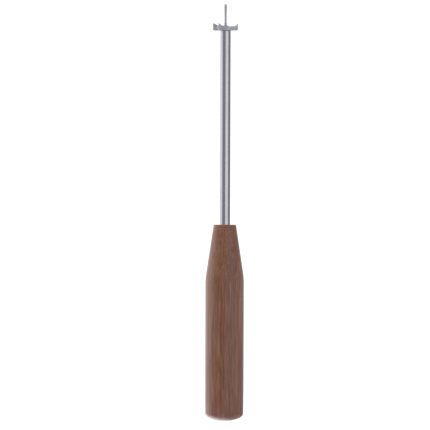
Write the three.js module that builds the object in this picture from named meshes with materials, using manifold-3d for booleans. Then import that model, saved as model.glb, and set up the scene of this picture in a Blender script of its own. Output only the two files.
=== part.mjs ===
// A clay modelling tool: a turned hardwood handle, a straight steel shaft glued into it, and a
// small crown of saw teeth clamped on the shaft's end by a long needle, its washer and its nut.
// Turned by hand with the needle as its pivot, the crown scores and cuts rings in soft clay.
//
// Millimetres. +Z runs along the tool's axis towards the needle's tip. Heights are measured from
// the butt of the handle; the finished group is lowered so that its origin is on the axis,
// halfway along the grip, where the hand holds it.

import * as THREE from "three";
import { mergeVertices } from "three/addons/utils/BufferGeometryUtils.js";
import Module from "manifold-3d";

const wasm = await Module();
wasm.setup();

// ---- Driving dimensions ----

const GRIP_R = 11.15; // the widest part of the handle
const BUTT_R = 11; // where the grip meets the dome
const BUTT_FLAT_R = 3; // the small flat left where the handle was parted off
const DOME_H = 4.1;
const EASE_TOP = 24; // the grip reaches its full radius here
const SHOULDER_Z = 82.5; // where grip and cone would meet in a sharp edge
const SHOULDER_BLEND_R = 40;
const HANDLE_H = 113.7;
const NECK_R = 6.55;
const NECK_EDGE_R = 0.5;
const GRIP_MIDDLE = 43;

const SHAFT_R = 3;
const TANG_DEPTH = 46; // length of shaft inside the handle
const TANG_CHAMFER = 0.8;
const GROOVES = 4; // rings that key the adhesive
const GROOVE_DEPTH = 0.35;
const GROOVE_W = 1.4;
const GROOVE_PITCH = 8;
const GROOVE_START = 6; // from the tang's end to the first groove
const SHAFT_END_CHAMFER = 0.25;
const TAP_ALLOWANCE = 1; // how much deeper the shaft's hole is than the needle's thread

const BORE_R = 3.3;
const BORE_DEPTH = 50;
const BORE_MOUTH_CHAMFER = 0.3;
const DRILL_POINT_H = 1.2;

const CROWN_Z = 226.45; // underside of the crown, on the shaft's end
const CROWN_R = 7.25;
const CROWN_WALL = 1;
const CROWN_FLOOR = 1.2;
const CROWN_RIM_H = 2.3; // underside to the plain top of the rim
const CROWN_CHAMFER = 0.3;
const CROWN_HOLE_R = 0.9;
const TOOTH_EDGE_W = 0.35; // how thin the rim is sharpened at a tooth's tip
const TOOTH_ROOT = 0.5; // how far a tooth's metal reaches down into the rim
const WEDGE_STEP = 6; // degrees of arc to each flat of a tooth's back
const GULLET_DEPTH = 0.5; // at half the rim's height
const GULLET_ANGLE = 233; // degrees from +X, at half the rim's height
const GULLET_LEAN = 22; // degrees from upright
const GULLET_TILT = 8; // degrees; it is deeper at the underside than at the rim's top

// Each tooth: the angle of its upright face, degrees from +X, the angle over which its back
// comes down to the rim, and its height above the rim. All of them cut the same way round.
const TEETH = [
  { face: 180, back: 55.5, height: 1.85 },
  { face: 235.5, back: 19, height: 1.95 },
  { face: 0, back: 41, height: 1.7 },
];

const SHANK_R = 0.8; // the needle's threaded end
const SHANK_DEPTH = 11; // how far it screws into the shaft
const SHANK_HOLE_CLEARANCE = 0.05;
const SHANK_PROUD = 0.12; // thread showing above the nut
const SHANK_RUNOUT_H = 0.15;
const COLLAR_R = 0.7; // the needle's foot, just above the thread
const COLLAR_H = 1.2;
const COLLAR_TAPER_H = 0.8;
const NEEDLE_R = 0.62;
const NEEDLE_TIP_R = 0.72;
const NEEDLE_TIP_Z = 241.8;
const NEEDLE_SWELL_H = 5; // length over which the needle thickens to its rounded tip
const TIP_PARALLEL_H = 1.6;

const WASHER_R = 2.1;
const WASHER_T = 0.3;
const NUT_SIDES = 6;
const NUT_FLATS = 3.2; // across flats
const NUT_T = 1.3;
const NUT_CHAMFER = 0.2;

const SEAT = 0.02; // joint line between seated pieces
const GLUE_GAP = 0.03;

const ROUND = 48; // sides of a large turned piece
const ROUND_SMALL = 24;
const ARC_STEPS = 10;
const SHORT_ARC_STEPS = 5;
const QUARTER = Math.PI / 2;
const SAME_POINT = 1e-4; // vertices nearer than this are one

// ---- Materials ----

const material = (color, roughness, metalness) =>
  new THREE.MeshStandardMaterial({ color, roughness, metalness });
const walnut = () => material(0x774f42, 0.55, 0);
const polishedSteel = () => material(0xb9bac4, 0.25, 1);
const filedSteel = () => material(0x96989f, 0.45, 1);
const epoxy = () => material(0xb9a37a, 0.5, 0);

// ---- Helpers ----

// Points of an elliptical arc in the (radius, height) plane, angles from the +radius direction.
function arc(centre, radii, from, to, steps = ARC_STEPS) {
  return Array.from({ length: steps + 1 }, (_, i) => {
    const angle = from + ((to - from) * i) / steps;
    return [centre[0] + radii[0] * Math.cos(angle), centre[1] + radii[1] * Math.sin(angle)];
  });
}

// A turned piece: a closed or axis-to-axis outline of [radius, height] points, turned about Z.
function turned(outline, sides) {
  const points = outline.map(([r, z]) => new THREE.Vector2(r, z));
  return new THREE.LatheGeometry(points, sides).rotateX(QUARTER);
}

// A flat outline of [x, y] points pushed straight up by height.
function pushed(outline, height) {
  const shape = new THREE.Shape(outline.map(([x, y]) => new THREE.Vector2(x, y)));
  return new THREE.ExtrudeGeometry(shape, { depth: height, bevelEnabled: false });
}

function toSolid(geometry) {
  const bare = geometry.clone();
  bare.deleteAttribute("normal");
  bare.deleteAttribute("uv");
  const merged = mergeVertices(bare, SAME_POINT);
  return new wasm.Manifold(
    new wasm.Mesh({
      numProp: 3,
      vertProperties: new Float32Array(merged.attributes.position.array),
      triVerts: new Uint32Array(merged.index.array),
    }),
  );
}

function toGeometry(solid) {
  const mesh = solid.getMesh();
  const geometry = new THREE.BufferGeometry();
  geometry.setAttribute("position", new THREE.BufferAttribute(mesh.vertProperties, 3));
  geometry.setIndex(new THREE.BufferAttribute(mesh.triVerts, 1));
  geometry.computeVertexNormals();
  return geometry;
}

function named(name, geometry, surface) {
  const mesh = new THREE.Mesh(geometry, surface);
  mesh.name = name;
  return mesh;
}

// ---- Handle ----

// The short curve that blends the upright grip into the sloping cone.
function shoulderBlend(slope) {
  const lean = Math.atan(slope);
  const run = SHOULDER_BLEND_R * Math.tan(lean / 2);
  const centre = [GRIP_R - SHOULDER_BLEND_R, SHOULDER_Z - run];
  return arc(centre, [SHOULDER_BLEND_R, SHOULDER_BLEND_R], 0, lean, SHORT_ARC_STEPS);
}

// The domed butt, from the edge of its flat out to the grip.
function buttDome() {
  const start = Math.asin(BUTT_FLAT_R / BUTT_R);
  const radii = [BUTT_R, DOME_H / Math.cos(start)];
  return arc([0, DOME_H], radii, start - QUARTER, 0);
}

// The grip's slight swelling, from the dome's edge to the full radius.
function gripEase() {
  return Array.from({ length: SHORT_ARC_STEPS }, (_, i) => {
    const t = (i + 1) / SHORT_ARC_STEPS;
    return [
      BUTT_R + (GRIP_R - BUTT_R) * Math.sin(t * QUARTER),
      DOME_H + (EASE_TOP - DOME_H) * t,
    ];
  });
}

function handle() {
  const slope = (GRIP_R - NECK_R) / (HANDLE_H - SHOULDER_Z);
  const edge = [NECK_R - NECK_EDGE_R, HANDLE_H - NECK_EDGE_R];
  const boreEnd = HANDLE_H - BORE_DEPTH;
  const outline = [
    [0, 0],
    ...buttDome(),
    ...gripEase(),
    ...shoulderBlend(slope),
    ...arc(edge, [NECK_EDGE_R, NECK_EDGE_R], 0, QUARTER, SHORT_ARC_STEPS),
    [BORE_R + BORE_MOUTH_CHAMFER, HANDLE_H],
    [BORE_R, HANDLE_H - BORE_MOUTH_CHAMFER],
    [BORE_R, boreEnd],
    [0, boreEnd - DRILL_POINT_H],
  ];
  return named("handle", turned(outline, ROUND), walnut());
}

// ---- Shaft and the adhesive round its tang ----

const TANG_END = HANDLE_H - TANG_DEPTH;

// The grooved outline of the tang, from the first groove up, made larger all round by grow.
function grooveOutline(grow) {
  const points = [];
  for (let i = 0; i < GROOVES; i += 1) {
    const low = TANG_END + GROOVE_START + i * GROOVE_PITCH;
    const high = low + GROOVE_W;
    const floor = SHAFT_R - GROOVE_DEPTH + grow;
    points.push([SHAFT_R + grow, low + grow]);
    points.push([floor, low + grow]);
    points.push([floor, high - grow]);
    points.push([SHAFT_R + grow, high - grow]);
  }
  return points;
}

function shaft() {
  const top = CROWN_Z - SEAT;
  const holeR = SHANK_R + SHANK_HOLE_CLEARANCE;
  const holeEnd = top - SHANK_DEPTH - TAP_ALLOWANCE;
  const outline = [
    [0, TANG_END],
    [SHAFT_R - TANG_CHAMFER, TANG_END],
    [SHAFT_R, TANG_END + TANG_CHAMFER],
    ...grooveOutline(0),
    [SHAFT_R, top - SHAFT_END_CHAMFER],
    [SHAFT_R - SHAFT_END_CHAMFER, top],
    [holeR, top],
    [holeR, holeEnd],
    [0, holeEnd - holeR],
  ];
  return named("shaft", turned(outline, ROUND), polishedSteel());
}

function tangAdhesive() {
  const low = TANG_END + TANG_CHAMFER;
  const high = HANDLE_H - BORE_MOUTH_CHAMFER;
  const outer = BORE_R - GLUE_GAP;
  const outline = [
    [outer, low],
    [outer, high],
    [SHAFT_R + GLUE_GAP, high],
    ...grooveOutline(GLUE_GAP).reverse(),
    [SHAFT_R + GLUE_GAP, low],
    [outer, low],
  ];
  return named("tang_adhesive", turned(outline, ROUND), epoxy());
}

// ---- Crown ----

function crownCup() {
  const inner = CROWN_R - CROWN_WALL;
  const floorTop = CROWN_Z + CROWN_FLOOR;
  const rim = CROWN_Z + CROWN_RIM_H;
  return turned(
    [
      [CROWN_HOLE_R, CROWN_Z],
      [CROWN_R - CROWN_CHAMFER, CROWN_Z],
      [CROWN_R, CROWN_Z + CROWN_CHAMFER],
      [CROWN_R, rim],
      [inner, rim],
      [inner, floorTop],
      [CROWN_HOLE_R, floorTop],
      [CROWN_HOLE_R, CROWN_Z],
    ],
    ROUND,
  );
}

// The ring of metal that the teeth are filed from, reaching a little into the rim and thinned
// from the inside towards the tips.
function toothRing() {
  const inner = CROWN_R - CROWN_WALL;
  const rim = CROWN_Z + CROWN_RIM_H;
  const high = rim + Math.max(...TEETH.map((tooth) => tooth.height)) + SEAT;
  return turned(
    [
      [inner, rim - TOOTH_ROOT],
      [CROWN_R, rim - TOOTH_ROOT],
      [CROWN_R, high],
      [CROWN_R - TOOTH_EDGE_W, high],
      [inner, rim],
      [inner, rim - TOOTH_ROOT],
    ],
    ROUND,
  );
}

// A wedge bent round the axis, upright at its face. Its back is one straight cut of a file held
// along Y, so it comes down evenly with x. A box is bent by reading its own x as the way round,
// y as height and z as the way out. It is twice the wall's thickness, so that the blank alone sets
// the tooth's inside and outside.
function bentWedge({ face, back, height }) {
  const steps = Math.ceil(back / WEDGE_STEP);
  const faceX = Math.cos(THREE.MathUtils.degToRad(face));
  const backX = Math.cos(THREE.MathUtils.degToRad(face + back));
  const wedge = new THREE.BoxGeometry(1, 1, 1, steps, 1, 1).translate(0.5, 0.5, 0);
  const points = wedge.attributes.position;
  const low = CROWN_Z + CROWN_RIM_H - TOOTH_ROOT;
  const wallMiddle = CROWN_R - CROWN_WALL / 2;
  const thickness = 2 * CROWN_WALL;
  for (let i = 0; i < points.count; i += 1) {
    const angle = THREE.MathUtils.degToRad(face + back * points.getX(i));
    const r = wallMiddle + thickness * points.getZ(i);
    const top = TOOTH_ROOT + (height * (Math.cos(angle) - backX)) / (faceX - backX);
    points.setXYZ(i, r * Math.cos(angle), r * Math.sin(angle), low + top * points.getY(i));
  }
  return wedge;
}

// The one gullet: a square V filed down the outside of the rim, leaning from the foot of the long
// tooth's back to under the tooth behind it. It is drawn facing out along +X, then turned.
function gullet() {
  const length = 2 * CROWN_RIM_H;
  const halfW = GULLET_DEPTH + CROWN_WALL;
  const outline = [
    [-GULLET_DEPTH, 0],
    [CROWN_WALL, -halfW],
    [CROWN_WALL, halfW],
  ];
  return pushed(outline, length)
    .translate(0, 0, -length / 2)
    .rotateY(THREE.MathUtils.degToRad(GULLET_TILT))
    .rotateX(THREE.MathUtils.degToRad(GULLET_LEAN))
    .translate(CROWN_R, 0, CROWN_Z + CROWN_RIM_H / 2)
    .rotateZ(THREE.MathUtils.degToRad(GULLET_ANGLE));
}

function toothedCrown() {
  const blank = toSolid(toothRing());
  let solid = toSolid(crownCup());
  for (const tooth of TEETH) {
    solid = solid.add(blank.intersect(toSolid(bentWedge(tooth))));
  }
  solid = solid.subtract(toSolid(gullet()));
  return named("toothed_crown", toGeometry(solid), filedSteel());
}

// ---- Needle, washer and nut ----

const WASHER_Z = CROWN_Z + CROWN_FLOOR + SEAT;
const NUT_Z = WASHER_Z + WASHER_T + SEAT;
const NUT_TOP = NUT_Z + NUT_T;

function centreNeedle() {
  const low = CROWN_Z - SHANK_DEPTH;
  const shankTop = NUT_TOP + SHANK_PROUD;
  const tipCentre = NEEDLE_TIP_Z - NEEDLE_TIP_R;
  const outline = [
    [0, low],
    [SHANK_R / 2, low],
    [SHANK_R, low + SHANK_R / 2],
    [SHANK_R, shankTop],
    [COLLAR_R, shankTop + SHANK_RUNOUT_H],
    [COLLAR_R, shankTop + COLLAR_H],
    [NEEDLE_R, shankTop + COLLAR_H + COLLAR_TAPER_H],
    [NEEDLE_R, tipCentre - TIP_PARALLEL_H - NEEDLE_SWELL_H],
    [NEEDLE_TIP_R, tipCentre - TIP_PARALLEL_H],
    ...arc([0, tipCentre], [NEEDLE_TIP_R, NEEDLE_TIP_R], 0, QUARTER, SHORT_ARC_STEPS),
  ];
  return named("centre_needle", turned(outline, ROUND_SMALL), polishedSteel());
}

function ring(outer, inner, low, thickness) {
  return turned(
    [
      [inner, low],
      [outer, low],
      [outer, low + thickness],
      [inner, low + thickness],
      [inner, low],
    ],
    ROUND_SMALL,
  );
}

function crownWasher() {
  const hole = SHANK_R + SHANK_HOLE_CLEARANCE;
  return named("crown_washer", ring(WASHER_R, hole, WASHER_Z, WASHER_T), polishedSteel());
}

// A hexagonal bar with a flat towards -Y, its top corners turned off to a cone.
function crownNut() {
  const corner = NUT_FLATS / 2 / Math.cos(Math.PI / NUT_SIDES);
  const hexagon = arc([0, 0], [corner, corner], 0, 2 * Math.PI, NUT_SIDES).slice(0, -1);
  const bar = toSolid(pushed(hexagon, NUT_T).translate(0, 0, NUT_Z));
  const hole = SHANK_R + SHANK_HOLE_CLEARANCE;
  const flatR = NUT_FLATS / 2;
  const chamfered = turned(
    [
      [hole, NUT_Z],
      [corner + SEAT, NUT_Z],
      [corner + SEAT, NUT_TOP - NUT_CHAMFER],
      [flatR, NUT_TOP],
      [hole, NUT_TOP],
      [hole, NUT_Z],
    ],
    ROUND_SMALL,
  );
  return named("crown_nut", toGeometry(bar.intersect(toSolid(chamfered))), polishedSteel());
}

// ---- Assembly ----

const tool = new THREE.Group();
tool.add(
  handle(),
  tangAdhesive(),
  shaft(),
  toothedCrown(),
  crownWasher(),
  crownNut(),
  centreNeedle(),
);
tool.position.z = -GRIP_MIDDLE;

export default tool;
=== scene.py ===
"""A clay modelling tool with a walnut handle, a bright steel shaft and a small toothed crown.

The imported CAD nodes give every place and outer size. Each is replaced by a finer mesh of the same
size, with its edges eased, its thread cut and its own material. Heights are in millimetres above
the handle's butt, as on a drawing of the tool, and become metres in the row's frame when a mesh is
made.
"""

import math

import bmesh
import bpy
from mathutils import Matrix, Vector


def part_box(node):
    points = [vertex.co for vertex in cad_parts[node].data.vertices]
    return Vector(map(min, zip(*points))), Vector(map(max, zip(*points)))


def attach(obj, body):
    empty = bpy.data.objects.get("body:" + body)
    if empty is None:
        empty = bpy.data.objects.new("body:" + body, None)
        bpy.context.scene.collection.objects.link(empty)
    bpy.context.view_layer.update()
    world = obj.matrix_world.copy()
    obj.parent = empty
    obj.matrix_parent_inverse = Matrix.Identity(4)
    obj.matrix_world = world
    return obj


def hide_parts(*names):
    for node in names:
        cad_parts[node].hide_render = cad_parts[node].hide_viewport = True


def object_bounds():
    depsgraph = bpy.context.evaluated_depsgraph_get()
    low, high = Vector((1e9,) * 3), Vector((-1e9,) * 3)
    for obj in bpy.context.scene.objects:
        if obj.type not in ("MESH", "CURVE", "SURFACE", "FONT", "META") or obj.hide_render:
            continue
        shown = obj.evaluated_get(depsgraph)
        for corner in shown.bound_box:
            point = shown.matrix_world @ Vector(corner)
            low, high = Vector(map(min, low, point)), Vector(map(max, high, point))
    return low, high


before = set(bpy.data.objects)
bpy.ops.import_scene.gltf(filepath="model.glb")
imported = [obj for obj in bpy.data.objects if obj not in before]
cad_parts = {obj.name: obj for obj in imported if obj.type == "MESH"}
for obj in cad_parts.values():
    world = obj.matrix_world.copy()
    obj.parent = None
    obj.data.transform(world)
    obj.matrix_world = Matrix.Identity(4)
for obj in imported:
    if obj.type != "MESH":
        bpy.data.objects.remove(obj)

CAD_LOW, CAD_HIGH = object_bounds()
MM = 0.001
FULL_TURN = 2 * math.pi
QUARTER = math.pi / 2
BODY = "root"

# ---- Sizes read from the frame, in millimetres above the butt ----

BUTT_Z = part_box("handle")[0].z


def height_of(z):
    """A height in the row's frame as millimetres above the butt."""
    return (z - BUTT_Z) / MM


def span(node):
    """The lowest and highest height of a CAD node."""
    low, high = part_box(node)
    return height_of(low.z), height_of(high.z)


def radius(node):
    """The outer radius of a round CAD node."""
    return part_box(node)[1].x / MM


HANDLE_TOP = span("handle")[1]
GRIP_R = radius("handle")
SHAFT_LOW, SHAFT_HIGH = span("shaft")
SHAFT_R = radius("shaft")
CROWN_LOW = span("toothed_crown")[0]
CROWN_R = radius("toothed_crown")
WASHER_LOW, WASHER_HIGH = span("crown_washer")
WASHER_R = radius("crown_washer")
NUT_LOW, NUT_HIGH = span("crown_nut")
NUT_CORNER_R = radius("crown_nut")
NEEDLE_LOW, NEEDLE_HIGH = span("centre_needle")
GLUE_LOW, GLUE_HIGH = span("tang_adhesive")
ORIGIN_HEIGHT = height_of(0)

# ---- Sizes that the boxes don't give, in millimetres ----

BUTT_R = 11
BUTT_FLAT_R = 3
DOME_H = 4.1
SWELL_TOP = 24  # up to here the grip swells from BUTT_R to its full radius
SHOULDER_Z = 82.5
SHOULDER_BLEND_R = 40
NECK_R = 6.55
NECK_EDGE_R = 0.5
BORE_R = 3.3
BORE_DEPTH = 50
BORE_MOUTH_EASE = 0.3
DRILL_POINT_H = 1.2
GLUE_GAP = 0.03
GLUE_DIP = 0.22  # how far the adhesive sinks between the shaft and the bore's mouth

TANG_CHAMFER = 0.8
GROOVES = 4
GROOVE_DEPTH = 0.35
GROOVE_W = 1.4
GROOVE_PITCH = 8
GROOVE_START = 6
SHAFT_END_EASE = 0.25
SHANK_HOLE_R = 0.85
SHANK_HOLE_DEPTH = 12

CROWN_WALL = 1
CROWN_FLOOR = 1.2
CROWN_RIM_H = 2.3
CROWN_CHAMFER = 0.3
CROWN_HOLE_R = 0.9
RIM_EASE = 0.07
TOOTH_EDGE_W = 0.35
GULLET_DEPTH = 0.5  # at half the rim's height
GULLET_ANGLE = 233  # degrees round the crown from +X
GULLET_LEAN = 22  # degrees that it slants off the upright
GULLET_TILT = 8  # degrees that its floor leans inwards towards its foot
TEETH = [
    # degrees round the crown from +X to the upright face and from there to the back's end, and the
    # height above the rim
    {"face": 180, "back": 55.5, "height": 1.85},
    {"face": 235.5, "back": 19, "height": 1.95},
    {"face": 0, "back": 41, "height": 1.7},
]

SHANK_R = 0.8
THREAD_PITCH = 0.35
THREAD_DEPTH = 0.16
SHANK_PROUD = 0.12
SHANK_RUNOUT_H = 0.15
COLLAR_R = 0.7
COLLAR_H = 1.2
COLLAR_TAPER_H = 0.8
NEEDLE_R = 0.62
NEEDLE_TIP_R = 0.72
NEEDLE_SWELL_H = 5
TIP_PARALLEL_H = 1.6

WASHER_EASE = 0.06
NUT_SIDES = 6
NUT_CHAMFER = 0.2
NUT_CORNER_EASE = 0.05
NUT_SINK = 0.12  # the countersink at both ends of the nut's hole

# ---- How finely the meshes are drawn ----

ROUND = 144  # columns of faces round the axis
ROUND_SMALL = 72
ARC_STEPS = 16
FILLET_STEPS = 5
THREAD_ROWS = 10  # rows of faces for each turn of the thread
ROW_H = 1.2  # the longest step along the handle's outline
SHARP = math.radians(32)  # faces that meet at more than this show a crisp edge
SAME_POINT = 1e-8  # metres


# ---- Outlines: lists of (radius, height) ----


def arc(centre, radii, start, end, steps=ARC_STEPS):
    """Points of an elliptical arc, angles from the +radius direction."""
    points = []
    for i in range(steps + 1):
        angle = start + (end - start) * i / steps
        points.append((centre[0] + radii[0] * math.cos(angle), centre[1] + radii[1] * math.sin(angle)))
    return points


def eased(corners):
    """An outline through (radius, height, ease) corners, each rounded by a fillet of radius ease."""
    points = []
    previous = corners[-1:] + corners[:-1]
    following = corners[1:] + corners[:1]
    for before, (r, z, ease), after in zip(previous, corners, following):
        if ease == 0:
            points.append((r, z))
            continue
        corner = Vector((r, z))
        to_before = (Vector(before[:2]) - corner).normalized()
        to_after = (Vector(after[:2]) - corner).normalized()
        half = to_before.angle(to_after) / 2
        back = ease / math.tan(half)
        middle = corner + (to_before + to_after).normalized() * ease / math.sin(half)
        first = corner + to_before * back - middle
        last = corner + to_after * back - middle
        for i in range(FILLET_STEPS + 1):
            turn = first.slerp(last, i / FILLET_STEPS)
            points.append(tuple(middle + turn.normalized() * ease))
    return points


def in_rows(points, longest):
    """The same outline with extra points, so that no step is longer than longest."""
    made = [points[0]]
    for (r0, z0), (r1, z1) in zip(points, points[1:]):
        steps = max(1, math.ceil(math.hypot(r1 - r0, z1 - z0) / longest))
        made += [(r0 + (r1 - r0) * i / steps, z0 + (z1 - z0) * i / steps) for i in range(1, steps + 1)]
    return made


# ---- Meshes ----


def place(r, angle, z):
    """A point about the tool's axis, in the row's frame."""
    return Vector((r * math.cos(angle) * MM, r * math.sin(angle) * MM, BUTT_Z + z * MM))


def even_angles(sides):
    return [FULL_TURN * i / sides for i in range(sides)]


def piece(name, node, bm, material):
    """Finishes a mesh: outward normals, smooth shading with crisp edges, its body, node and slot."""
    bmesh.ops.recalc_face_normals(bm, faces=bm.faces)
    for face in bm.faces:
        face.smooth = True
    for edge in bm.edges:
        edge.smooth = len(edge.link_faces) == 2 and edge.calc_face_angle(0) < SHARP
    mesh = bpy.data.meshes.new(name)
    bm.to_mesh(mesh)
    bm.free()
    mesh.materials.append(material)
    made = bpy.data.objects.new(name, mesh)
    bpy.context.scene.collection.objects.link(made)
    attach(made, BODY)
    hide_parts(node)
    return made


def swept(angles, outline_at, closed, breaks=()):
    """Joins one outline per angle into a skin about the axis. No faces join a pair of columns that
    starts at an index in breaks; the flat face that they leave open is filled."""
    bm = bmesh.new()
    columns = []
    for index, angle in enumerate(angles):
        columns.append([bm.verts.new(place(r, angle, z)) for r, z in outline_at(index, angle)])
    count = len(columns[0])
    last = count if closed else count - 1
    for index, column in enumerate(columns):
        if index in breaks:
            continue
        following = columns[(index + 1) % len(columns)]
        for i in range(last):
            j = (i + 1) % count
            bm.faces.new((column[i], following[i], following[j], column[j]))
    bmesh.ops.remove_doubles(bm, verts=bm.verts, dist=SAME_POINT)
    open_edges = [edge for edge in bm.edges if edge.is_boundary]
    if open_edges:
        bmesh.ops.holes_fill(bm, edges=open_edges, sides=0)
    return bm


def turned(outline, sides, closed=False):
    """An outline turned about the axis."""
    return swept(even_angles(sides), lambda index, angle: outline, closed)


# ---- Handle ----


def handle_outline():
    slope = (GRIP_R - NECK_R) / (HANDLE_TOP - SHOULDER_Z)
    lean = math.atan(slope)
    blend_low = SHOULDER_Z - SHOULDER_BLEND_R * math.tan(lean / 2)
    start = math.asin(BUTT_FLAT_R / BUTT_R)
    dome = arc((0, DOME_H), (BUTT_R, DOME_H / math.cos(start)), start - QUARTER, 0)
    swell = []
    for i in range(1, ARC_STEPS + 1):
        t = i / ARC_STEPS
        r = BUTT_R + (GRIP_R - BUTT_R) * math.sin(t * QUARTER)
        swell.append((r, DOME_H + (SWELL_TOP - DOME_H) * t))
    blend = arc((GRIP_R - SHOULDER_BLEND_R, blend_low), (SHOULDER_BLEND_R,) * 2, 0, lean)
    edge = arc((NECK_R - NECK_EDGE_R, HANDLE_TOP - NECK_EDGE_R), (NECK_EDGE_R,) * 2, 0, QUARTER)
    bore_end = HANDLE_TOP - BORE_DEPTH
    mouth = [(BORE_R + BORE_MOUTH_EASE, HANDLE_TOP), (BORE_R, HANDLE_TOP - BORE_MOUTH_EASE)]
    bore = [(BORE_R, bore_end), (0, bore_end - DRILL_POINT_H)]
    return in_rows([(0, 0)] + dome + swell + blend + edge + mouth + bore, ROW_H)


def make_handle(material):
    bm = turned(handle_outline(), ROUND)
    piece("walnut_handle", "handle", bm, material)


# ---- Shaft and adhesive ----


def grooves(grow):
    """The outline of the tang's grooves, from the lowest up, made larger all round by grow."""
    points = []
    for i in range(GROOVES):
        low = SHAFT_LOW + GROOVE_START + i * GROOVE_PITCH + grow
        high = low + GROOVE_W - 2 * grow
        outer = SHAFT_R + grow
        floor = outer - GROOVE_DEPTH
        points += [(outer, low), (floor, low), (floor, high), (outer, high)]
    return points


def make_shaft(material):
    hole_end = SHAFT_HIGH - SHANK_HOLE_DEPTH
    end = arc((SHAFT_R - SHAFT_END_EASE, SHAFT_HIGH - SHAFT_END_EASE), (SHAFT_END_EASE,) * 2, 0, QUARTER)
    outline = [(0, SHAFT_LOW), (SHAFT_R - TANG_CHAMFER, SHAFT_LOW), (SHAFT_R, SHAFT_LOW + TANG_CHAMFER)]
    outline += grooves(0) + end
    outline += [(SHANK_HOLE_R, SHAFT_HIGH), (SHANK_HOLE_R, hole_end), (0, hole_end - SHANK_HOLE_R)]
    piece("steel_shaft", "shaft", turned(outline, ROUND), material)


def make_adhesive(material):
    """The glue line, with a dipped ring where it shows round the shaft at the bore's mouth."""
    outer = BORE_R - GLUE_GAP
    inner = SHAFT_R + GLUE_GAP
    middle = ((outer + inner) / 2, GLUE_HIGH)
    dip = arc(middle, ((outer - inner) / 2, -GLUE_DIP), 0, math.pi)
    outline = [(outer, GLUE_LOW)] + dip + list(reversed(grooves(GLUE_GAP))) + [(inner, GLUE_LOW)]
    bm = turned(outline, ROUND, closed=True)
    piece("tang_adhesive_ring", "tang_adhesive", bm, material)


# ---- Crown ----

CROWN_FINE = 1.0  # degrees between columns
GULLET_FINE = 0.25  # degrees between columns across the gullet
GULLET_REACH = 12  # degrees either side of the gullet that are drawn finely
WALL_ROWS = 28
TOOTH_ROWS = 10


def tooth_height(degrees):
    """How high the teeth stand above the plain rim just before an angle, and just after it. Each
    back is one straight cut of a file held along Y, so it comes down evenly with x."""
    before = after = 0.0
    for tooth in TEETH:
        along = (degrees - tooth["face"]) % 360
        if along <= tooth["back"]:
            face_x = math.cos(math.radians(tooth["face"]))
            back_x = math.cos(math.radians(tooth["face"] + tooth["back"]))
            x = math.cos(math.radians(degrees))
            after = tooth["height"] * (x - back_x) / (face_x - back_x)
            before = 0.0 if along == 0 else after
    return before, after


def gullet_cut(angle, z):
    """How deep the gullet is filed into the outside of the rim at an angle and a height."""
    above = z - CROWN_LOW - CROWN_RIM_H / 2
    lean = math.radians(GULLET_LEAN)
    middle = math.radians(GULLET_ANGLE) - above * math.tan(lean) / CROWN_R
    across = abs(angle - middle) * CROWN_R * math.cos(lean)
    deepest = GULLET_DEPTH - above * math.tan(math.radians(GULLET_TILT))
    return max(0.0, deepest - across)


def crown_outline(angle, tooth):
    """The crown's section at an angle, where the tooth stands that high above the rim."""
    inner = CROWN_R - CROWN_WALL
    rim = CROWN_LOW + CROWN_RIM_H
    floor = CROWN_LOW + CROWN_FLOOR
    tallest = max(t["height"] for t in TEETH)
    crest_in = inner + (CROWN_WALL - TOOTH_EDGE_W) * tooth / tallest
    top = rim + tooth
    ease = RIM_EASE
    corner = [(CROWN_R - CROWN_CHAMFER, CROWN_LOW), (CROWN_R, CROWN_LOW + CROWN_CHAMFER)]
    wall_low = corner[-1][1]
    wall_h = rim - ease - wall_low
    wall = [(CROWN_R, wall_low + wall_h * i / WALL_ROWS) for i in range(1, WALL_ROWS + 1)]
    tooth_wall = [(CROWN_R, rim - ease + tooth * i / TOOTH_ROWS) for i in range(1, TOOTH_ROWS + 1)]
    crest_out = arc((CROWN_R - ease, top - ease), (ease, ease), 0, QUARTER, FILLET_STEPS)[1:]
    crest_back = arc((crest_in + ease, top - ease), (ease, ease), QUARTER, math.pi, FILLET_STEPS)
    inside = [(inner, rim - ease), (inner, floor + ease)]
    foot = arc((inner - ease, floor + ease), (ease, ease), 0, -QUARTER, FILLET_STEPS)[1:]
    hole = [(CROWN_HOLE_R, floor), (CROWN_HOLE_R, CROWN_LOW)]
    outline = corner + wall + tooth_wall + crest_out + crest_back + inside + foot + hole
    return [(min(r, CROWN_R - gullet_cut(angle, z)), z) for r, z in outline]


def crown_columns():
    """(angle, tooth height) for each column, with two columns where a tooth's upright face is."""
    degrees = {i * CROWN_FINE for i in range(round(360 / CROWN_FINE))}
    fine = round(2 * GULLET_REACH / GULLET_FINE)
    degrees |= {GULLET_ANGLE - GULLET_REACH + i * GULLET_FINE for i in range(fine + 1)}
    degrees |= {tooth["face"] for tooth in TEETH}
    columns = []
    for degree in sorted(degrees):
        before, after = tooth_height(degree)
        if before != after:
            columns.append((math.radians(degree), before))
        columns.append((math.radians(degree), after))
    return columns


def make_crown(material):
    columns = crown_columns()
    angles = [angle for angle, _ in columns]
    breaks = {i for i, (a, b) in enumerate(zip(columns, columns[1:])) if a[0] == b[0]}
    bm = swept(angles, lambda index, angle: crown_outline(angle, columns[index][1]), True, breaks)
    piece("steel_crown", "toothed_crown", bm, material)


# ---- Washer, nut and needle ----


def make_washer(material):
    outline = eased([
        (SHANK_HOLE_R, WASHER_LOW, 0),
        (WASHER_R, WASHER_LOW, WASHER_EASE),
        (WASHER_R, WASHER_HIGH, WASHER_EASE),
        (SHANK_HOLE_R, WASHER_HIGH, WASHER_EASE / 2),
    ])
    piece("steel_washer", "crown_washer", turned(outline, ROUND_SMALL, True), material)


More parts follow.
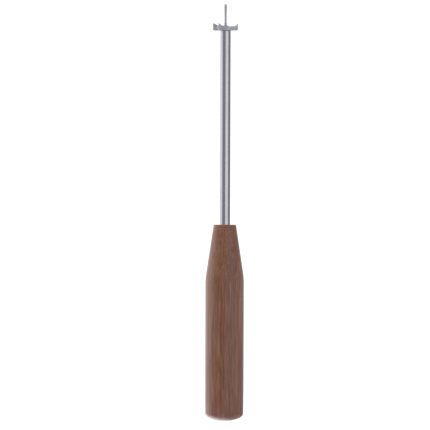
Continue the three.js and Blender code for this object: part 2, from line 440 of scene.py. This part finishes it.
def nut_outline(angle):
    """The nut's section at an angle: its side is cut by the hexagon, its top by a cone."""
    flat_r = NUT_CORNER_R * math.cos(math.pi / NUT_SIDES)
    side = FULL_TURN / NUT_SIDES
    off_flat = (angle % side) - side / 2
    r = min(flat_r / math.cos(off_flat), NUT_CORNER_R - NUT_CORNER_EASE)
    fall = NUT_CHAMFER * (r - flat_r) / (NUT_CORNER_R - flat_r)
    return [
        (SHANK_HOLE_R + NUT_SINK, NUT_LOW),
        (r - NUT_CORNER_EASE, NUT_LOW),
        (r, NUT_LOW + NUT_CORNER_EASE),
        (r, NUT_HIGH - fall - NUT_CORNER_EASE),
        (r - NUT_CORNER_EASE, NUT_HIGH - fall),
        (flat_r - NUT_CORNER_EASE, NUT_HIGH),
        (SHANK_HOLE_R + NUT_SINK, NUT_HIGH),
        (SHANK_HOLE_R, NUT_HIGH - NUT_SINK),
        (SHANK_HOLE_R, NUT_LOW + NUT_SINK),
    ]


def make_nut(material):
    bm = swept(even_angles(2 * ROUND_SMALL), lambda index, angle: nut_outline(angle), True)
    piece("hexagon_nut", "crown_nut", bm, material)


def needle_outline(angle):
    """The needle's section at an angle. Up its shank the section follows a helical thread."""
    shank_top = NUT_HIGH + SHANK_PROUD
    row = THREAD_PITCH / THREAD_ROWS
    points = [(0, NEEDLE_LOW), (SHANK_R / 2, NEEDLE_LOW)]
    z = NEEDLE_LOW + SHANK_R / 2
    while z < shank_top:
        wave = abs(((z / THREAD_PITCH - angle / FULL_TURN) % 1) * 2 - 1)
        points.append((SHANK_R - THREAD_DEPTH * wave, z))
        z += row
    tip = NEEDLE_HIGH - NEEDLE_TIP_R
    points += [
        (COLLAR_R, shank_top + SHANK_RUNOUT_H),
        (COLLAR_R, shank_top + COLLAR_H),
        (NEEDLE_R, shank_top + COLLAR_H + COLLAR_TAPER_H),
        (NEEDLE_R, tip - TIP_PARALLEL_H - NEEDLE_SWELL_H),
        (NEEDLE_TIP_R, tip - TIP_PARALLEL_H),
    ]
    points += arc((0, tip), (NEEDLE_TIP_R,) * 2, 0, QUARTER)
    return points


def make_needle(material):
    bm = swept(even_angles(ROUND_SMALL), lambda index, angle: needle_outline(angle), False)
    piece("threaded_needle", "centre_needle", bm, material)


# ---- Material values ----

PITH = (57.7, -9.0)  # the tool's axis as seen from the middle of the tree, in millimetres
RING_SPACING = 2.3
RING_LATE = (0.3, 0.93)  # the share of a ring over which its late wood darkens
RING_EDGE = (0.96, 1.0)
GRAIN_WANDER = 3.5
HEART_SHADE_X = 3.1  # where the dark heart runs up the front, as heartwood and as painted shade that leaves the handle's sides lighter
HEART_SHADE_EDGE = (0.8, 5.0)  # the distance from the band's middle over which the dark heart and its painted shade fade out
HEART_SHADE_WANDER = 0.5  # the share of the grain's wandering that the band follows
GOLDEN = (0.25, 0.1, 0.008)
RED = (0.3, 0.09, 0.047)
ORANGE = (0.25, 0.078, 0.018)
PATCHES = [
    # where across the front, height above the butt, half width, half height, colour
    (-2.8, 93, 4.6, 12, GOLDEN),
    (-3.6, 32, 4.6, 15, GOLDEN),
    (-1.8, 107, 6.5, 10, RED),
    (-3.6, 77, 4.6, 11, ORANGE),
    (-1.6, 54, 2.6, 16, RED),
    (-2.4, 12, 4.2, 12, RED),
]
PATCH_SHARE = 0.85
PATCH_EDGE = (0.6, 1.5)  # in half widths from the patch's middle
PATCH_RAGGED = 0.8
PORE_SIZE = (0.2, 0.09)  # in early and in late wood, as a share of the space between two pores
PORE_RING = (0.1, 0.9)  # the share of a ring over which the pores shrink
PORE_EDGE = (0.7, 1.25)
PORES_PER_MM = (3.4, 3.4, 0.2)

WOOD_NOISE = {
    # scale is features to the millimetre along x, y and z
    "wander": {"scale": (0.05, 0.05, 0.012), "detail": 2.0},
    "broad": {"scale": (0.36, 0.36, 0.014), "shift": (5, 0, 0)},
    "warm": {"scale": (0.26, 0.26, 0.024), "shift": (0, 9, 0), "detail": 2.0},
    "fibre": {"scale": (1.5, 1.5, 0.04), "detail": 6.0, "roughness": 0.66},
    "hair": {"scale": (2.4, 2.4, 0.1), "shift": (0, 0, 3), "detail": 4.0, "roughness": 0.65},
}
NOISE_EDGES = {"broad": (0.34, 0.66), "warm": (0.4, 0.68), "fibre": (0.4, 0.64), "hair": (0.44, 0.66)}
WALNUT_DARK = (0.235, 0.094, 0.056)
WALNUT_LIGHT = (0.41, 0.205, 0.14)
WOOD_LAYERS = {
    # how strongly each is laid over what lies under it, and its colour
    "warm": (0.7, (0.36, 0.125, 0.075)),
    # the dark heart: heartwood, and painted shade down the front
    "heart_and_shade": (0.55, (0.19, 0.072, 0.042)),
    "ring": (0.3, (0.13, 0.052, 0.034)),
    "fibre": (0.6, (0.15, 0.062, 0.04)),
    "hair": (0.4, (0.43, 0.24, 0.17)),
    "pore": (0.6, (0.06, 0.025, 0.017)),
}
WOOD_ROUGHNESS = {"base": 0.36, "fibre": 0.16, "pore": 0.25}
WOOD_RELIEF = {"fibre": 0.35, "pore": -1.0, "strength": 0.5, "depth": 0.06}
WOOD_FINISH = {
    "Coat Weight": 0.05,
    "Coat Roughness": 0.3,
    "Sheen Weight": 0.36,
    "Sheen Roughness": 0.4,
}

STEELS = {
    # marks to the millimetre and their depth in millimetres; dulled is the share of the tint that
    # is left where the steel is dull; edge is how much of it shows at a grazing angle
    "drawn_steel": {
        "tint": (0.705, 0.69, 0.74), "dulled": 0.85, "edge": 0.7, "metallic": 1.0,
        "roughness": 0.13, "marks": 9.0, "depth": 0.004,
    },
    "filed_steel": {
        "tint": (0.605, 0.615, 0.705), "dulled": 0.66, "edge": 0.1, "metallic": 0.6,
        "roughness": 0.5, "marks": 6.0, "depth": 0.03,
    },
    "machined_steel": {
        "tint": (0.5, 0.5, 0.53), "dulled": 0.65, "edge": 0.1, "metallic": 1.0,
        "roughness": 0.4, "marks": 8.0, "depth": 0.02,
    },
    "ground_steel": {
        "tint": (0.66, 0.66, 0.68), "dulled": 0.7, "edge": 0.1, "metallic": 1.0,
        "roughness": 0.42, "marks": 9.0, "depth": 0.012,
    },
}
MARK_NOISE = {"detail": 4.0, "roughness": 0.6}
MARK_RUN = (0.11, 0.17, 0.0)  # how fast the marks change from place to place round the axis
MARK_EDGES = (0.38, 0.62)
SMEAR_NOISE = {"scale": (0.35, 0.35, 0.09), "detail": 4.0, "roughness": 0.55}
SMEAR_EDGES = (0.42, 0.72)
SCRATCH_NOISE = {"scale": (7.0, 7.0, 0.35), "shift": (0, 4, 0), "detail": 2.0}
SCRATCH_EDGES = (0.68, 0.74)
DARKENING = {"smear": 0.6, "mark": 0.8, "scratch": 0.5}
ROUGHENING = {"smear": 0.07, "mark": 0.06, "scratch": 0.08}
SCRATCH_RELIEF = -0.4  # against the marks' relief of 1
STEEL_BUMP = 0.4

# Painted shade on the crown's left and painted light on its right. Their edges are shares of its radius,
# from its middle towards +X.
PAINTED_SHADE = (0.34, 0.345, 0.345)
PAINTED_SHADE_SHARE = 0.78
PAINTED_SHADE_EDGES = (-0.8, -0.52)
PAINTED_LIGHT = (0.95, 0.95, 0.97)
PAINTED_LIGHT_SHARE = 0.88
PAINTED_LIGHT_EDGES = (0.44, 0.8)
# A painted glint: near-white colour along the wall of the filed gullet.
GULLET_GLINT = (0.95, 0.95, 0.97)
GLINT_DEPTHS = (0.12, 0.7)  # how far under the crown's outside the painted glint in the gullet lies
GLINT_FADE = 0.1

EPOXY_THIN = (0.2, 0.12, 0.06)
EPOXY_THICK = (0.38, 0.27, 0.15)
WOOD_DUST = (0.12, 0.06, 0.04)
CLOUD_NOISE = {"scale": (1.2, 1.2, 1.2)}
DUST_NOISE = {"scale": (9.0, 9.0, 9.0), "detail": 2.0}
DUST_EDGES = (0.6, 0.7)
DUST_SHARE = 0.6
EPOXY_ROUGHNESS = (0.2, 0.5)
EPOXY_BUMP = 0.3
EPOXY_DEPTH = 0.05

# ---- Materials ----


def add(tree, kind, inputs=None, **settings):
    """A new node with its settings, and its inputs set to values or joined to sockets."""
    made = tree.nodes.new(kind)
    for name, value in settings.items():
        setattr(made, name, value)
    for name, value in (inputs or {}).items():
        if isinstance(value, bpy.types.NodeSocket):
            tree.links.new(value, made.inputs[name])
        else:
            made.inputs[name].default_value = value
    return made


def new_material(name):
    """An empty material: its tree, its one shader and its position in millimetres."""
    material = bpy.data.materials.new(name)
    material.use_nodes = True
    tree = material.node_tree
    tree.nodes.clear()
    shader = add(tree, "ShaderNodeBsdfPrincipled")
    add(tree, "ShaderNodeOutputMaterial", {"Surface": shader.outputs[0]})
    where = add(tree, "ShaderNodeTexCoord").outputs["Object"]
    position = add(tree, "ShaderNodeVectorMath", {0: where, "Scale": 1 / MM}, operation="SCALE")
    return material, tree, shader, position.outputs[0]


def stretched(tree, position, scale, shift=(0, 0, 0)):
    """The position scaled along each axis, then shifted so that two patterns don't match."""
    return add(
        tree, "ShaderNodeVectorMath", {0: position, 1: scale, 2: shift}, operation="MULTIPLY_ADD"
    ).outputs[0]


def noise_of(tree, position, scale, shift=(0, 0, 0), detail=3.0, roughness=0.5):
    made = add(tree, "ShaderNodeTexNoise", {
        "Vector": stretched(tree, position, scale, shift),
        "Scale": 1.0,
        "Detail": detail,
        "Roughness": roughness,
    })
    return made.outputs["Fac"]


def math_of(tree, operation, first, second=0.0, third=0.0):
    return add(tree, "ShaderNodeMath", {0: first, 1: second, 2: third}, operation=operation).outputs[0]


def times(tree, first, second):
    return math_of(tree, "MULTIPLY", first, second)


def length_of(tree, vector):
    return add(tree, "ShaderNodeVectorMath", {0: vector}, operation="LENGTH").outputs["Value"]


def fade(tree, value, edges, start=0.0, end=1.0):
    """Goes smoothly from start to end as a value passes between two edges."""
    inputs = {"Value": value, "From Min": edges[0], "From Max": edges[1], "To Min": start, "To Max": end}
    return add(tree, "ShaderNodeMapRange", inputs, interpolation_type="SMOOTHSTEP").outputs["Result"]


def between(tree, value, low, high, reach):
    """1 where a value lies between low and high, fading to 0 over a reach outside them."""
    rise = fade(tree, value, (low - reach, low))
    return times(tree, rise, fade(tree, value, (high, high + reach), 1.0, 0.0))


def mix(tree, share, first, second):
    """A colour with a share of the second laid over the first."""
    made = add(tree, "ShaderNodeMix", data_type="RGBA")
    for socket, value in ((made.inputs[0], share), (made.inputs[6], first), (made.inputs[7], second)):
        if isinstance(value, bpy.types.NodeSocket):
            tree.links.new(value, socket)
        else:
            socket.default_value = value if isinstance(value, float) else colour(value)
    return made.outputs[2]


def colour(rgb):
    return (*rgb, 1.0)


def bump(tree, shader, height, strength, depth):
    """Gives a shader relief from a height of 0 to 1 that stands for a depth in millimetres."""
    made = add(tree, "ShaderNodeBump", {"Height": height, "Strength": strength, "Distance": depth * MM})
    tree.links.new(made.outputs[0], shader.inputs["Normal"])


def growth_rings(tree, position, bend):
    """0 to 1 from the inner edge of each growth ring to its outer edge."""
    from_pith = stretched(tree, position, (1.0, 1.0, 0.0), (*PITH, 0.0))
    distance = math_of(tree, "ADD", length_of(tree, from_pith), bend)
    return math_of(tree, "FRACT", math_of(tree, "DIVIDE", distance, RING_SPACING))


def heart_and_painted_shade(tree, position, bend):
    """1 where the dark band of heartwood and painted shade runs, 0 well to either side."""
    across = add(tree, "ShaderNodeSeparateXYZ", {0: position}).outputs["X"]
    from_heart = math_of(tree, "SUBTRACT", across, HEART_SHADE_X)
    wandered = math_of(tree, "MULTIPLY_ADD", bend, HEART_SHADE_WANDER, from_heart)
    off_heart = math_of(tree, "ABSOLUTE", wandered)
    return fade(tree, off_heart, HEART_SHADE_EDGE, 1.0, 0.0)


def open_pores(tree, position, ring):
    """1 in the pores, which are smaller where the ring is late wood."""
    cells = add(
        tree, "ShaderNodeTexVoronoi",
        {"Vector": stretched(tree, position, PORES_PER_MM), "Scale": 1.0, "Randomness": 1.0},
    ).outputs["Distance"]
    size = fade(tree, ring, PORE_RING, *PORE_SIZE)
    return fade(tree, math_of(tree, "DIVIDE", cells, size), PORE_EDGE, 1.0, 0.0)


def patch_share(tree, position, ragged, patch):
    """How strongly a patch of colour shows, with its edge made ragged."""
    x, height, half_w, half_h, _ = patch
    size = (1 / half_w, 0.0, 1 / half_h)
    shift = (-x / half_w, 0.0, (ORIGIN_HEIGHT - height) / half_h)
    away = length_of(tree, stretched(tree, position, size, shift))
    edge = math_of(tree, "MULTIPLY_ADD", ragged, PATCH_RAGGED, away)
    return fade(tree, edge, PATCH_EDGE, PATCH_SHARE, 0.0)


def walnut():
    """Oiled walnut with its fibres along the handle: growth bands, a darker heart that is also painted
    shade on the front, patches of colour, fine streaks and open pores."""
    material, tree, shader, position = new_material("oiled_walnut")
    noise = {name: noise_of(tree, position, **values) for name, values in WOOD_NOISE.items()}
    layers = {name: fade(tree, noise[name], edges) for name, edges in NOISE_EDGES.items()}
    bend = math_of(tree, "MULTIPLY_ADD", noise["wander"], 2 * GRAIN_WANDER, -GRAIN_WANDER)
    ring = growth_rings(tree, position, bend)
    layers["ring"] = times(tree, fade(tree, ring, RING_LATE), fade(tree, ring, RING_EDGE, 1.0, 0.0))
    # the dark heart band is heartwood and also painted shade down the front
    layers["heart_and_shade"] = heart_and_painted_shade(tree, position, bend)
    layers["pore"] = open_pores(tree, position, ring)

    def laid_over(base, names):
        for name in names:
            strength, tint = WOOD_LAYERS[name]
            base = mix(tree, times(tree, layers[name], strength), base, tint)
        return base

    base = mix(tree, layers["broad"], WALNUT_DARK, WALNUT_LIGHT)
    base = laid_over(base, ("warm", "heart_and_shade"))
    for patch in PATCHES:
        base = mix(tree, patch_share(tree, position, noise["broad"], patch), base, patch[-1])
    base = laid_over(base, ("ring", "fibre", "hair", "pore"))
    tree.links.new(base, shader.inputs["Base Color"])

    fibre, pore = noise["fibre"], layers["pore"]
    rough = math_of(tree, "MULTIPLY_ADD", fibre, WOOD_ROUGHNESS["fibre"], WOOD_ROUGHNESS["base"])
    rough = math_of(tree, "MULTIPLY_ADD", pore, WOOD_ROUGHNESS["pore"], rough)
    tree.links.new(rough, shader.inputs["Roughness"])
    for name, value in WOOD_FINISH.items():
        shader.inputs[name].default_value = value
    fibre_height = times(tree, fibre, WOOD_RELIEF["fibre"])
    height = math_of(tree, "MULTIPLY_ADD", pore, WOOD_RELIEF["pore"], fibre_height)
    bump(tree, shader, height, WOOD_RELIEF["strength"], WOOD_RELIEF["depth"])
    return material


def crown_light_and_shade(tree, base, parts):
    """Painted shade on the left of the crown and painted light on its right."""
    sideways = times(tree, parts["X"], 1 / CROWN_R)
    shaded_share = fade(tree, sideways, PAINTED_SHADE_EDGES, PAINTED_SHADE_SHARE, 0.0)
    base = mix(tree, shaded_share, base, PAINTED_SHADE)
    lit_share = fade(tree, sideways, PAINTED_LIGHT_EDGES, 0.0, PAINTED_LIGHT_SHARE)
    return mix(tree, lit_share, base, PAINTED_LIGHT)


def painted_gullet_glint(tree, base, parts, out):
    """A painted glint where the gullet is filed into the crown's wall."""
    shallow, deep = (CROWN_R - depth for depth in GLINT_DEPTHS)
    under_skin = between(tree, out, deep, shallow, GLINT_FADE)
    rim = CROWN_LOW + CROWN_RIM_H - GLINT_FADE - ORIGIN_HEIGHT
    chamfer = CROWN_LOW + CROWN_CHAMFER + GLINT_FADE / 2 - ORIGIN_HEIGHT
    in_wall = between(tree, parts["Z"], chamfer, rim, GLINT_FADE)
    return mix(tree, times(tree, under_skin, in_wall), base, GULLET_GLINT)


def steel(name, is_crown=False):
    """Steel with fine marks round the axis, left by turning or polishing, smears and scratches."""
    look = STEELS[name]
    material, tree, shader, position = new_material(name)
    parts = add(tree, "ShaderNodeSeparateXYZ", {0: position}).outputs
    out = length_of(tree, stretched(tree, position, (1.0, 1.0, 0.0)))
    around = add(tree, "ShaderNodeVectorMath", {0: position, 1: MARK_RUN}, operation="DOT_PRODUCT")
    turned_round = {0: out, 1: parts["Z"], 2: around.outputs["Value"]}
    groove = add(tree, "ShaderNodeCombineXYZ", turned_round).outputs[0]
    mark = noise_of(tree, groove, (look["marks"], look["marks"], 1.0), **MARK_NOISE)
    smear = fade(tree, noise_of(tree, position, **SMEAR_NOISE), SMEAR_EDGES)
    scratch = fade(tree, noise_of(tree, position, **SCRATCH_NOISE), SCRATCH_EDGES)

    shares = {"smear": smear, "mark": fade(tree, mark, MARK_EDGES), "scratch": scratch}
    clean = 1.0
    for kind, share in shares.items():
        clean = times(tree, clean, math_of(tree, "MULTIPLY_ADD", share, -DARKENING[kind], 1.0))
    shade = math_of(tree, "MULTIPLY_ADD", clean, 1 - look["dulled"], look["dulled"])
    # the crown's tint gets painted shade on its left and painted light on its right
    base = crown_light_and_shade(tree, look["tint"], parts) if is_crown else look["tint"]
    base = add(tree, "ShaderNodeVectorMath", {0: base, "Scale": shade}, operation="SCALE").outputs[0]
    # a painted glint along the filed gullet
    if is_crown:
        base = painted_gullet_glint(tree, base, parts, out)
    tree.links.new(base, shader.inputs["Base Color"])
    rough = look["roughness"]
    for kind, share in {"smear": smear, "mark": mark, "scratch": scratch}.items():
        rough = math_of(tree, "MULTIPLY_ADD", share, ROUGHENING[kind], rough)
    tree.links.new(rough, shader.inputs["Roughness"])
    shader.inputs["Metallic"].default_value = look["metallic"]
    shader.inputs["Specular Tint"].default_value = colour([look["edge"]] * 3)
    height = math_of(tree, "MULTIPLY_ADD", scratch, SCRATCH_RELIEF, mark)
    bump(tree, shader, height, STEEL_BUMP, look["depth"])
    return material


def epoxy():
    """Brownish adhesive with a few specks of wood dust."""
    material, tree, shader, position = new_material("cured_adhesive")
    cloud = noise_of(tree, position, **CLOUD_NOISE)
    dust = fade(tree, noise_of(tree, position, **DUST_NOISE), DUST_EDGES)
    base = mix(tree, cloud, EPOXY_THIN, EPOXY_THICK)
    base = mix(tree, times(tree, dust, DUST_SHARE), base, WOOD_DUST)
    tree.links.new(base, shader.inputs["Base Color"])
    tree.links.new(fade(tree, dust, (0.0, 1.0), *EPOXY_ROUGHNESS), shader.inputs["Roughness"])
    bump(tree, shader, cloud, EPOXY_BUMP, EPOXY_DEPTH)
    return material


# ---- Stage ----

FLOOR_R = 0.3
FLOOR_DROP = 0.08  # the tool is held this far above the floor
PANEL_DISTANCE = 1.0
SKY_LIGHT = (0.93, 0.95, 1.0)
SKY_LIGHT_STRENGTH = 0.28
SKY_SEEN_STRENGTH = 1.1
PAPER = ((0.93, 0.93, 0.93), (0.97, 0.97, 0.97))
PAPER_NOISE = {"scale": (60, 60, 60)}  # features to the metre
PANELS = [
    # name, azimuth and elevation in degrees, width and height in metres, radiance
    ("key_panel", 37, 8, 1.2, 1.2, 0.64),
    ("left_panel", -77, 8, 0.5, 1.2, 0.56),
    ("left_rear_panel", -133, 8, 1.8, 1.2, 0.8),
    ("right_rear_panel", 168, 8, 0.4, 1.2, 0.5),
    ("low_rear_panel", -147, -35, 1.0, 0.7, 2.8),
    ("low_front_panel", -20, -52, 1.1, 0.7, 0.6),
    ("low_right_panel", 92, -48, 0.9, 0.7, 0.7),
    ("high_left_panel", -80, 48, 0.9, 0.7, 1.4),
    ("overhead_panel", 0, 90, 1.5, 1.5, 0.8),
]


def make_floor():
    """White paper that casts no shadow or reflection, so the low panels light the tool past it."""
    bm = bmesh.new()
    bmesh.ops.create_circle(bm, cap_ends=True, segments=ROUND_SMALL, radius=FLOOR_R)
    mesh = bpy.data.meshes.new("floor")
    bm.to_mesh(mesh)
    bm.free()
    floor = bpy.data.objects.new("floor", mesh)
    floor.location.z = CAD_LOW.z - FLOOR_DROP
    bpy.context.scene.collection.objects.link(floor)
    material = bpy.data.materials.new("white_paper")
    material.use_nodes = True
    tree = material.node_tree
    tree.nodes.clear()
    where = add(tree, "ShaderNodeTexCoord").outputs["Object"]
    base = mix(tree, noise_of(tree, where, **PAPER_NOISE), *PAPER)
    paper = add(tree, "ShaderNodeBsdfDiffuse", {"Color": base})
    add(tree, "ShaderNodeOutputMaterial", {"Surface": paper.outputs[0]})
    mesh.materials.append(material)
    floor.visible_diffuse = False
    floor.visible_glossy = False
    floor.visible_shadow = False


def make_world():
    """White where it is looked at, and dim in what it lights, so that the panels do the lighting."""
    world = bpy.data.worlds.new("studio")
    world.use_nodes = True
    tree = world.node_tree
    tree.nodes.clear()
    looked_at = add(tree, "ShaderNodeLightPath").outputs["Is Camera Ray"]
    white = colour((1, 1, 1))
    seen = add(tree, "ShaderNodeBackground", {"Color": white, "Strength": SKY_SEEN_STRENGTH})
    sky = {"Color": colour(SKY_LIGHT), "Strength": SKY_LIGHT_STRENGTH}
    lit = add(tree, "ShaderNodeBackground", sky)
    both = add(tree, "ShaderNodeMixShader", {0: looked_at, 1: lit.outputs[0], 2: seen.outputs[0]})
    add(tree, "ShaderNodeOutputWorld", {"Surface": both.outputs[0]})
    bpy.context.scene.world = world


def direction(azimuth, elevation):
    """From the tool towards an azimuth, 0 at the front and 90 at +X, and an elevation."""
    a, e = math.radians(azimuth), math.radians(elevation)
    return Vector((math.sin(a) * math.cos(e), -math.cos(a) * math.cos(e), math.sin(e)))


def make_panel(name, azimuth, elevation, width, height, radiance):
    """A soft panel that shines at the tool and isn't seen by the camera."""
    light = bpy.data.lights.new(name, "AREA")
    light.shape = "RECTANGLE"
    light.size = width
    light.size_y = height
    light.energy = radiance * math.pi * width * height
    panel = bpy.data.objects.new(name, light)
    towards = direction(azimuth, elevation)
    middle = (CAD_LOW + CAD_HIGH) / 2
    panel.location = middle + towards * PANEL_DISTANCE
    panel.rotation_mode = "QUATERNION"
    panel.rotation_quaternion = towards.to_track_quat("Z", "Y")
    panel.visible_camera = False
    bpy.context.scene.collection.objects.link(panel)


# ---- Camera ----

CAMERA_DISTANCE = 6.0
FRAME_FILL = 0.9688  # the tool's height as a share of the picture's
RIGHT_OF_CENTRE = 0.023  # share of the picture by which the tool stands right of its middle
ABOVE_CENTRE = 0.0064  # and above it
CAMERA_ROLL = -0.2  # degrees
CLIP_NEAR = 0.1
CLIP_FAR = 4 * CAMERA_DISTANCE


def make_camera():
    """A long lens level with the tool's middle, straight in front of it."""
    data = bpy.data.cameras.new("camera")
    camera = bpy.data.objects.new("camera", data)
    side = (CAD_HIGH.z - CAD_LOW.z) / FRAME_FILL
    middle = (CAD_LOW + CAD_HIGH) / 2
    data.lens = data.sensor_width * CAMERA_DISTANCE / side
    data.clip_start = CLIP_NEAR
    data.clip_end = CLIP_FAR
    aim = Vector((-RIGHT_OF_CENTRE * side, 0, middle.z - ABOVE_CENTRE * side))
    camera.location = aim + direction(0, 0) * CAMERA_DISTANCE
    camera.rotation_mode = "XYZ"
    camera.rotation_euler = (QUARTER, math.radians(CAMERA_ROLL), 0)
    bpy.context.scene.collection.objects.link(camera)
    bpy.context.scene.camera = camera


# ---- Everything ----

make_camera()
make_handle(walnut())
make_shaft(steel("drawn_steel"))
make_adhesive(epoxy())
make_crown(steel("filed_steel", is_crown=True))
fasteners = steel("machined_steel")
make_washer(fasteners)
make_nut(fasteners)
make_needle(steel("ground_steel"))
make_floor()
make_world()
for panel in PANELS:
    make_panel(*panel)
bpy.context.scene.view_settings.view_transform = "Standard"
